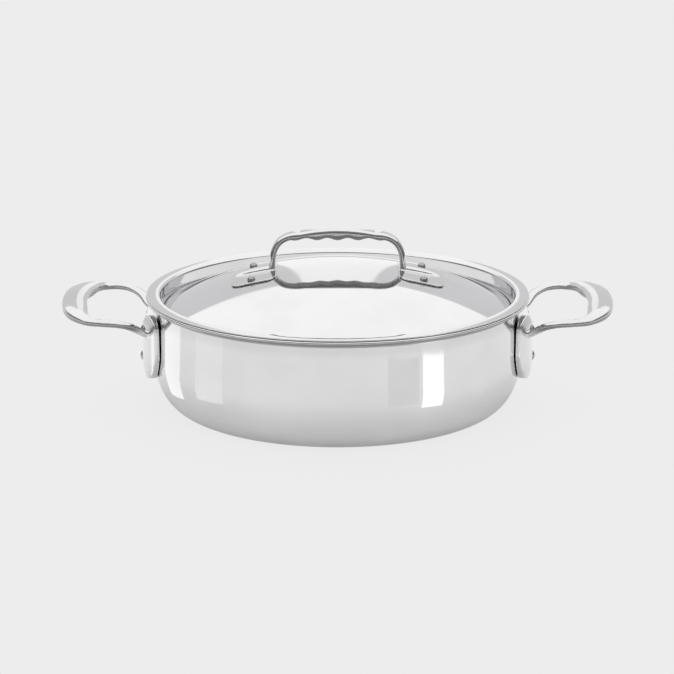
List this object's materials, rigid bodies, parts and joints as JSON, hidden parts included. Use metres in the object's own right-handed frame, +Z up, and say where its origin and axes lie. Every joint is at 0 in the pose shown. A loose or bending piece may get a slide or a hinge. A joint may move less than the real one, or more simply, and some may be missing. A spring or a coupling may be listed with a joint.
{
  "type": "cooking pot",
  "caption": "Low round polished steel cooking pot with riveted cast loop handles and a domed lid that drops into the rim, lifted by a riveted bridge handle.",
  "frame": {"origin": "centre of the flat base, on the surface the pot stands on", "axes": "+X towards the right side handle, +Y away from the front, +Z up"},
  "size_m": [0.4276, 0.298, 0.1386],
  "materials": {
    "polished_steel": "mirror polished stainless steel",
    "cast_steel": "polished stainless steel casting",
    "rivet_steel": "satin stainless steel"
  },
  "bodies": {
    "pot": {"pot_body": "polished_steel", "right_handle": "cast_steel", "right_handle_rivet_low": "rivet_steel", "right_handle_rivet_front": "rivet_steel", "right_handle_rivet_back": "rivet_steel", "left_handle": "cast_steel", "left_handle_rivet_low": "rivet_steel", "left_handle_rivet_front": "rivet_steel", "left_handle_rivet_back": "rivet_steel"},
    "lid": {"lid_shell": "polished_steel", "lid_handle": "cast_steel", "lid_rivet_right_front": "rivet_steel", "lid_rivet_right_back": "rivet_steel", "lid_rivet_left_front": "rivet_steel", "lid_rivet_left_back": "rivet_steel"}
  },
  "joints": [
    {"name": "lid_lift", "type": "slide", "parent": "pot", "child": "lid", "axis": [0, 0, 1], "range_m": [0, 0.12]}
  ]
}
